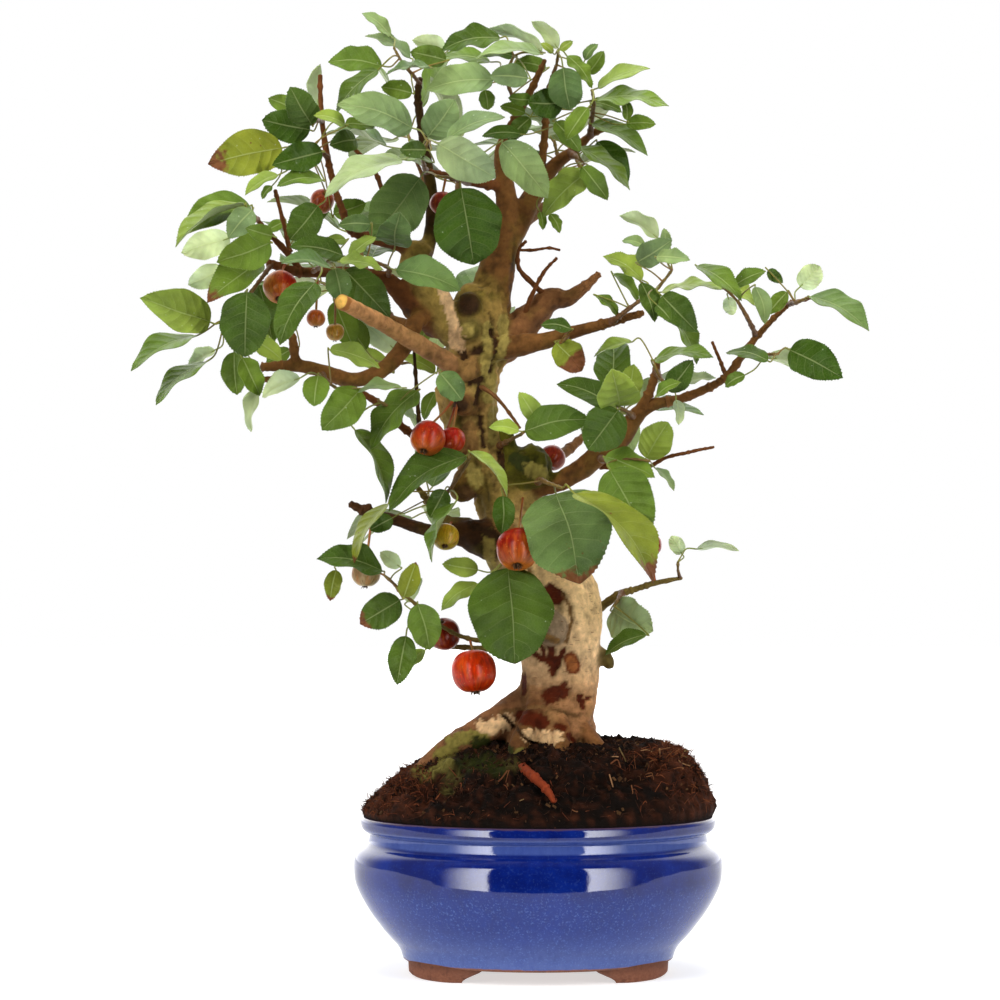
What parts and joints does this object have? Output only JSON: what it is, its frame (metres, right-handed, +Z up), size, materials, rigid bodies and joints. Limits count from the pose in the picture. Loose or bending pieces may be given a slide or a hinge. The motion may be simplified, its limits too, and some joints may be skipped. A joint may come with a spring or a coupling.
{
  "type": "bonsai tree",
  "caption": "Crabapple bonsai with a gnarled trunk, leafy branches and small red apples, standing in an oval blue glazed pot with bracket feet.",
  "frame": {"origin": "under the middle of the whole plant and pot, on the surface that the four feet stand on", "axes": "+Z up the trunk, -Y towards the front, +X to the right seen from the front"},
  "size_m": [0.3888, 0.2924, 0.5266],
  "materials": {
    "glaze": "glossy cobalt-blue glaze over terracotta feet",
    "soil": "dark fibrous bark compost",
    "bark": "tan bark with lenticels, olive and brown above",
    "leaf": "satin green leaves, paler underneath",
    "crabapple": "waxy orange-red skin"
  },
  "bodies": {
    "root": {"pot": "glaze", "soil": "soil", "trunk_and_branches": "bark", "fruit_large_red": "crabapple", "fruit_behind_leaf": "crabapple", "fruit_front": "crabapple", "fruit_yellow": "crabapple", "fruit_cluster_left": "crabapple", "fruit_cluster_right": "crabapple", "fruit_cluster_low": "crabapple", "fruit_by_knob": "crabapple", "fruit_right_low": "crabapple", "fruit_shoot": "crabapple", "fruit_left": "crabapple", "fruit_pair_left": "crabapple", "fruit_pair_right": "crabapple", "fruit_upper": "crabapple", "fruit_pale": "crabapple", "spray_left_outer_high": "leaf", "spray_left_outer_low": "leaf", "spray_left_shoot_low": "leaf", "spray_left_shoot_high": "leaf", "spray_left_fruit": "leaf", "spray_left_behind": "leaf", "spray_centre_left": "leaf", "spray_curved_branch": "leaf", "spray_lower_arm_front": "leaf", "spray_lower_front": "leaf", "spray_centre_behind": "leaf", "spray_top_left": "leaf", "spray_upper_left_front": "leaf", "spray_top_middle": "leaf", "spray_centre_front": "leaf", "spray_top_right": "leaf", "spray_right_crown_outer": "leaf", "spray_right_crown_low": "leaf", "spray_right_branch_near": "leaf", "spray_right_branch_middle": "leaf", "spray_right_tip": "leaf", "spray_right_tip_low": "leaf", "spray_right_branch_fork": "leaf", "spray_middle_right_high": "leaf", "spray_middle_front_high": "leaf", "spray_middle_right_low": "leaf", "spray_front_large_leaves": "leaf", "spray_front_low_leaf": "leaf", "spray_lower_left_outer": "leaf", "spray_lower_left_inner": "leaf", "spray_lower_right": "leaf", "spray_lower_right_tip": "leaf", "spray_branch_face": "leaf", "spray_back_low": "leaf", "spray_back_top_left": "leaf", "spray_back_top_middle": "leaf", "spray_back_top_right": "leaf", "spray_back_crown_right": "leaf", "spray_back_right": "leaf", "spray_back_left": "leaf", "spray_back_left_high": "leaf", "spray_back_lower": "leaf"}
  },
  "joints": []
}
